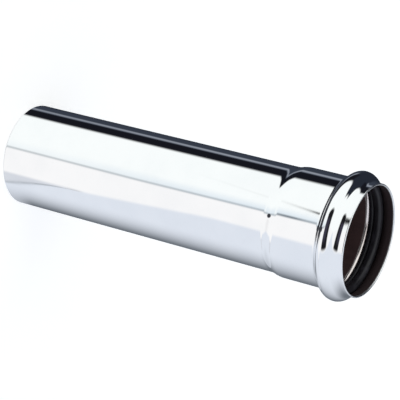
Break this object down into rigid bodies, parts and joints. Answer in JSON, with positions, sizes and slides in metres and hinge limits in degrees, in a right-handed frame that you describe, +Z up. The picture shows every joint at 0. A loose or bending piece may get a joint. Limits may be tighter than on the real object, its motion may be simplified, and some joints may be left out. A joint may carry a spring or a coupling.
{
  "type": "basin waste tail pipe",
  "caption": "Straight chrome-plated basin waste tube with a square-cut plain end and a flared push-fit socket whose rolled bead holds a black rubber lip seal.",
  "frame": {"origin": "centre of the plain end, on the surface that the pipe stands on", "axes": "+Z up the pipe's axis, from the plain end to the mouth of the socket"},
  "size_m": [0.0386, 0.0386, 0.12],
  "materials": {
    "chrome_plate": "polished chrome plate on brass",
    "seal_rubber": "moulded, satin"
  },
  "bodies": {
    "root": {"socket_pipe": "chrome_plate", "lip_seal": "seal_rubber"}
  },
  "joints": []
}
